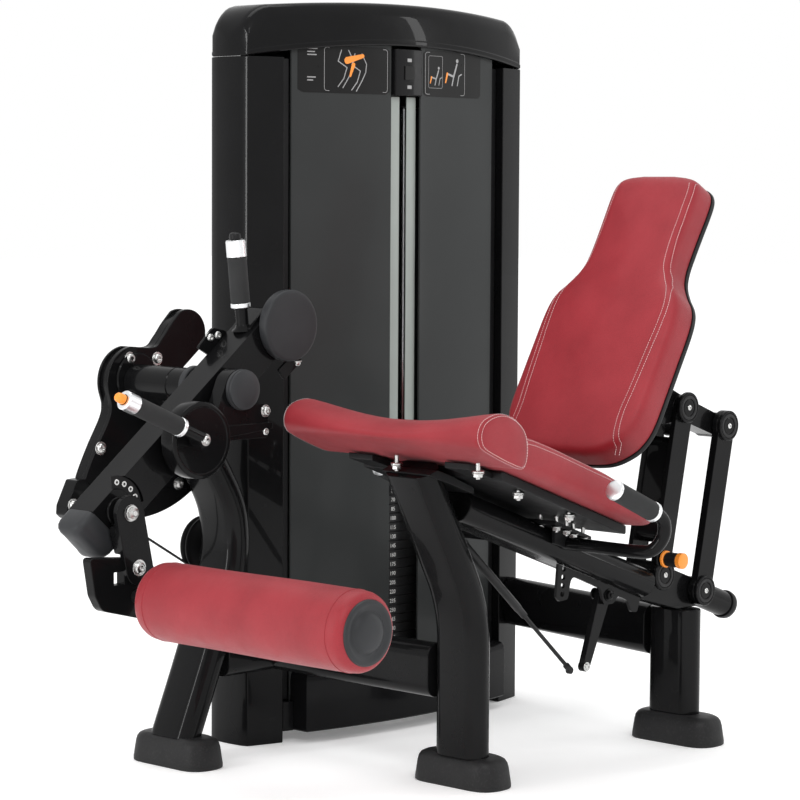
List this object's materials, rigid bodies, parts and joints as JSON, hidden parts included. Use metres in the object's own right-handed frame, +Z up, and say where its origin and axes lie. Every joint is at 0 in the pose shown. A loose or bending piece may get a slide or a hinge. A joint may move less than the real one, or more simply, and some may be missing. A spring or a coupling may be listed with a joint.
{
  "type": "leg extension machine",
  "caption": "Seated leg extension machine: roller arm on a cam and cable lifts an enclosed weight stack; the red back pad adjusts on a parallel linkage beside a tall bowed tower.",
  "frame": {"origin": "floor level, at the centre of the whole machine's plan outline", "axes": "+Z up, +Y from the seat towards the weight tower, -X the way the seated user faces"},
  "size_m": [1.4504, 1.0164, 1.47],
  "materials": {
    "frame_paint": "gloss black powder coat",
    "tower_shroud": "dark smoked sheet",
    "moulding": "satin charcoal moulding",
    "steel_dark": "black painted plate steel",
    "chrome": "polished",
    "upholstery": "red grained vinyl with white double stitching",
    "grip_foam": "black foam grip",
    "foot_rubber": "black rubber",
    "orange_plastic": "orange release button",
    "cable": "black coated steel cable"
  },
  "bodies": {
    "frame": {"left_column": "frame_paint", "right_column": "frame_paint", "top_cap": "frame_paint", "top_crossmember": "steel_dark", "base_frame": "steel_dark", "base_cover": "moulding", "front_panel_left": "tower_shroud", "front_panel_right": "tower_shroud", "rear_panel": "tower_shroud", "rep_counter": "moulding", "guide_rod_left": "chrome", "guide_rod_right": "chrome", "front_leg": "frame_paint", "rear_leg": "frame_paint", "seat_beam": "frame_paint", "side_leg": "frame_paint", "front_crossbeam": "frame_paint", "rear_crossbeam": "frame_paint", "rear_bracket": "frame_paint", "foot_front": "foot_rubber", "foot_rear": "foot_rubber", "foot_side": "foot_rubber", "seat_pad": "upholstery", "seat_pan": "moulding", "handle_stem_near": "frame_paint", "handle_stem_far": "frame_paint", "grip_near": "grip_foam", "grip_far": "grip_foam", "selector_plate": "frame_paint", "resting_plates": "steel_dark", "drive_cable": "cable"},
    "cam_unit": {"lift_cam": "frame_paint", "arm_shaft": "steel_dark", "hub_casting": "frame_paint", "forward_handle": "grip_foam"},
    "forward_release": {"forward_button": "orange_plastic"},
    "arm": {"arm_beam": "frame_paint", "beam_end_cap": "moulding", "counterweight": "moulding", "upright_handle": "grip_foam"},
    "upright_release": {"upright_button": "moulding"},
    "pad_arm": {"pad_link": "frame_paint", "roller_axle": "steel_dark"},
    "roller": {"roller_pad": "upholstery"},
    "stack": {"top_plate": "steel_dark", "lifted_plates": "steel_dark"},
    "pin": {"selector_pin": "moulding"},
    "knee_wheel": {"knee_pulley": "moulding"},
    "lower_wheel": {"lower_pulley": "moulding"},
    "upper_wheel_front": {"upper_pulley_front": "moulding"},
    "upper_wheel_rear": {"upper_pulley_rear": "moulding"},
    "link_front": {"back_link_front": "frame_paint"},
    "link_rear": {"back_link_rear": "frame_paint"},
    "back_rest": {"back_carrier": "frame_paint", "back_pad": "upholstery", "back_shell": "moulding"},
    "knob": {"back_knob": "moulding"},
    "lever": {"back_lever": "frame_paint"},
    "spring_body": {"gas_spring_body": "steel_dark"},
    "spring_rod": {"gas_spring_rod": "chrome"}
  },
  "joints": [
    {"name": "arm_swing", "type": "hinge", "parent": "frame", "child": "cam_unit", "pos_m": [-0.3766, 0.34519, 0.732], "axis": [0, 1, 0], "range_deg": [0, 60]},
    {"name": "start_adjust", "type": "hinge", "parent": "cam_unit", "child": "arm", "pos_m": [-0.3766, 0.34519, 0.732], "axis": [0, 1, 0], "range_deg": [-30, 10]},
    {"name": "pad_swing", "type": "hinge", "parent": "arm", "child": "pad_arm", "pos_m": [-0.6356, 0.34519, 0.526], "axis": [0, 1, 0], "range_deg": [-20, 20]},
    {"name": "roller_spin", "type": "hinge", "parent": "pad_arm", "child": "roller", "pos_m": [-0.6166, -0.19481, 0.375], "axis": [0, 1, 0], "continuous": true},
    {"name": "forward_press", "type": "slide", "parent": "cam_unit", "child": "forward_release", "axis": [0.9209, 0, -0.3898], "range_m": [0, 0.006], "stiffness_N_per_m": 600},
    {"name": "upright_press", "type": "slide", "parent": "arm", "child": "upright_release", "axis": [0.1139, 0, -0.9935], "range_m": [0, 0.006], "stiffness_N_per_m": 600},
    {"name": "stack_lift", "type": "slide", "parent": "frame", "child": "stack", "axis": [0, 0, 1], "range_m": [0, 0.28]},
    {"name": "pin_pull", "type": "slide", "parent": "stack", "child": "pin", "axis": [0, -1, 0], "range_m": [0, 0.06]},
    {"name": "knee_wheel_spin", "type": "hinge", "parent": "frame", "child": "knee_wheel", "pos_m": [-0.1826, 0.39519, 0.402], "axis": [0, 1, 0], "range_deg": [0, 280]},
    {"name": "lower_wheel_spin", "type": "hinge", "parent": "frame", "child": "lower_wheel", "pos_m": [0.0234, 0.39519, 0.395], "axis": [0, 1, 0], "range_deg": [0, 325]},
    {"name": "upper_wheel_front_spin", "type": "hinge", "parent": "frame", "child": "upper_wheel_front", "pos_m": [0.1134, 0.39519, 1.345], "axis": [0, 1, 0], "range_deg": [-325, 0]},
    {"name": "upper_wheel_rear_spin", "type": "hinge", "parent": "frame", "child": "upper_wheel_rear", "pos_m": [0.2359, 0.39519, 1.345], "axis": [0, 1, 0], "range_deg": [-325, 0]},
    {"name": "back_adjust", "type": "hinge", "parent": "frame", "child": "link_front", "pos_m": [0.4564, -0.19681, 0.345], "axis": [0, 1, 0], "range_deg": [-18, 8]},
    {"name": "back_rear_turn", "type": "hinge", "parent": "frame", "child": "link_rear", "pos_m": [0.5824, -0.19681, 0.302], "axis": [0, 1, 0], "range_deg": [-18, 8]},
    {"name": "back_rest_turn", "type": "hinge", "parent": "link_front", "child": "back_rest", "pos_m": [0.5254, -0.19681, 0.671], "axis": [0, 1, 0], "range_deg": [-8, 18]},
    {"name": "knob_pull", "type": "slide", "parent": "link_front", "child": "knob", "axis": [0, -1, 0], "range_m": [0, 0.012], "stiffness_N_per_m": 900},
    {"name": "lever_swing", "type": "hinge", "parent": "frame", "child": "lever", "pos_m": [0.3084, -0.19681, 0.318], "axis": [0, 1, 0], "range_deg": [-8, 8]},
    {"name": "spring_tilt", "type": "hinge", "parent": "frame", "child": "spring_body", "pos_m": [-0.0646, -0.18481, 0.446], "axis": [0, 1, 0], "range_deg": [-2, 2]},
    {"name": "spring_stroke", "type": "slide", "parent": "spring_body", "child": "spring_rod", "axis": [0.7477, 0, -0.6641], "range_m": [-0.025, 0.025]}
  ],
  "couplings": [
    {"joint": "stack_lift", "follows": "arm_swing", "m_per_rad": 0.24},
    {"joint": "knee_wheel_spin", "follows": "arm_swing", "ratio": 4.6154},
    {"joint": "lower_wheel_spin", "follows": "arm_swing", "ratio": 5.3333},
    {"joint": "upper_wheel_front_spin", "follows": "arm_swing", "ratio": -5.3333},
    {"joint": "upper_wheel_rear_spin", "follows": "arm_swing", "ratio": -5.3333},
    {"joint": "back_rear_turn", "follows": "back_adjust", "ratio": 1},
    {"joint": "back_rest_turn", "follows": "back_adjust", "ratio": -1},
    {"joint": "spring_tilt", "follows": "lever_swing", "ratio": 0.105},
    {"joint": "spring_stroke", "follows": "lever_swing", "m_per_rad": -0.152}
  ]
}
